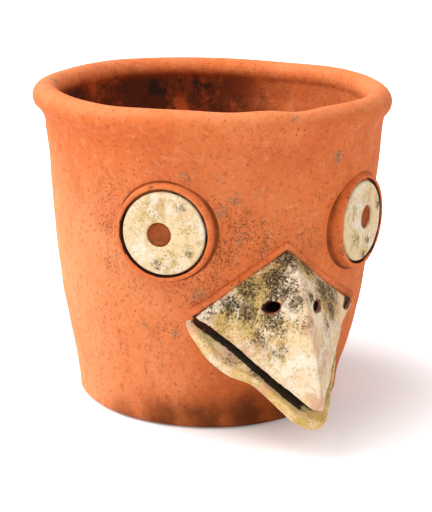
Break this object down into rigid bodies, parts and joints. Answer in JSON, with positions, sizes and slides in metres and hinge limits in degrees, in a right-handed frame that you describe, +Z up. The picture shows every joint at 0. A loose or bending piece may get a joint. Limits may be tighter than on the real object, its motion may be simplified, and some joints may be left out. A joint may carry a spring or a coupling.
{
  "type": "planter",
  "caption": "Hand-built round terracotta planter with a rolled rim, a drain hole, ringed eyes with plug pupils and an open, slab-built bird's beak.",
  "frame": {"origin": "centre of the drain hole, on the ground under the pot", "axes": "+Z up along the pot's axis; the beak points to -Y; the bird's right side is at -X"},
  "size_m": [0.24, 0.2756, 0.214],
  "materials": {
    "red_clay": "unglazed, weathered",
    "pale_clay": "unglazed, weathered, with lichen"
  },
  "bodies": {
    "root": {"pot_floor": "red_clay", "pot_wall": "red_clay", "rim_coil": "red_clay", "eye_ring_right": "red_clay", "eye_ring_left": "red_clay", "eye_disc_right": "pale_clay", "eye_disc_left": "pale_clay", "pupil_right": "red_clay", "pupil_left": "red_clay", "beak_upper": "pale_clay", "beak_lower": "pale_clay", "beak_seam": "red_clay"}
  },
  "joints": []
}
